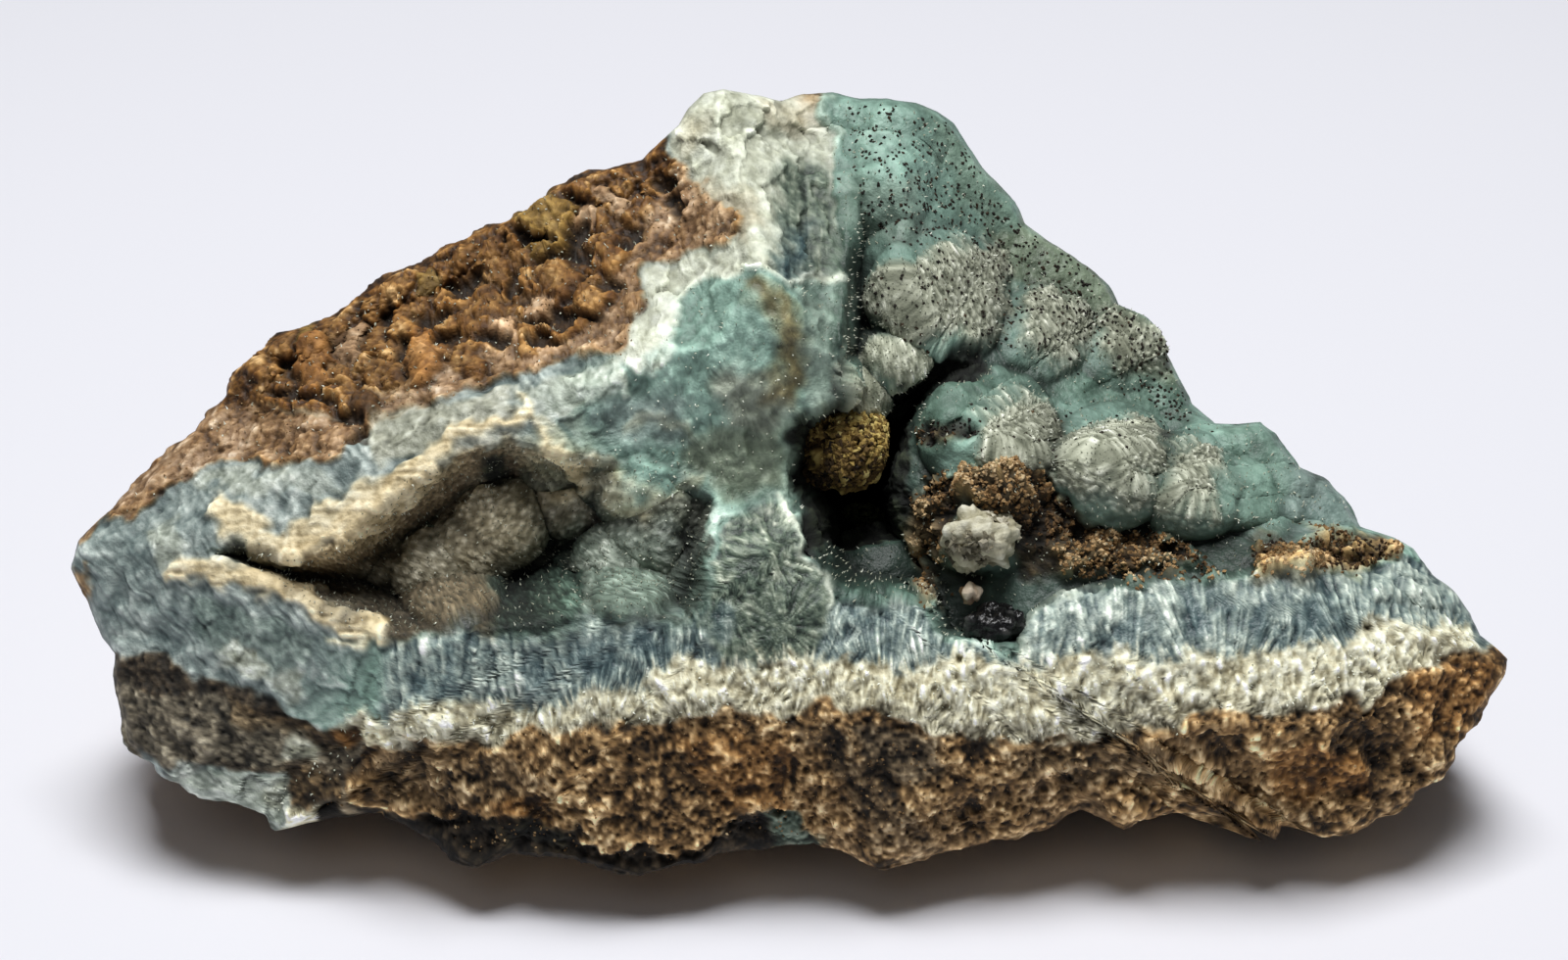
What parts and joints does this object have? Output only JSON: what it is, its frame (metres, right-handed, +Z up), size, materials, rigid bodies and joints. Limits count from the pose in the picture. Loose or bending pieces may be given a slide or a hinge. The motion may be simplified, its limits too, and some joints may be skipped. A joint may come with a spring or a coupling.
{
  "type": "hemimorphite specimen",
  "caption": "Broken piece of hemimorphite vein on brown limonite, with a banded blue and white crust and rounded crystal growths lining its open vugs; it rests on a flat base.",
  "frame": {"origin": "middle of the stone's box in X and Y, at the level it rests on", "axes": "+X along the stone's longest side, to the right as its broken face is viewed; +Y away from the viewer; +Z up"},
  "size_m": [0.1216, 0.0606, 0.0561],
  "materials": {
    "hemimorphite": "dull crystalline, blue-green and white over brown limonite"
  },
  "bodies": {
    "root": {"hemimorphite_stone": "hemimorphite"}
  },
  "joints": []
}
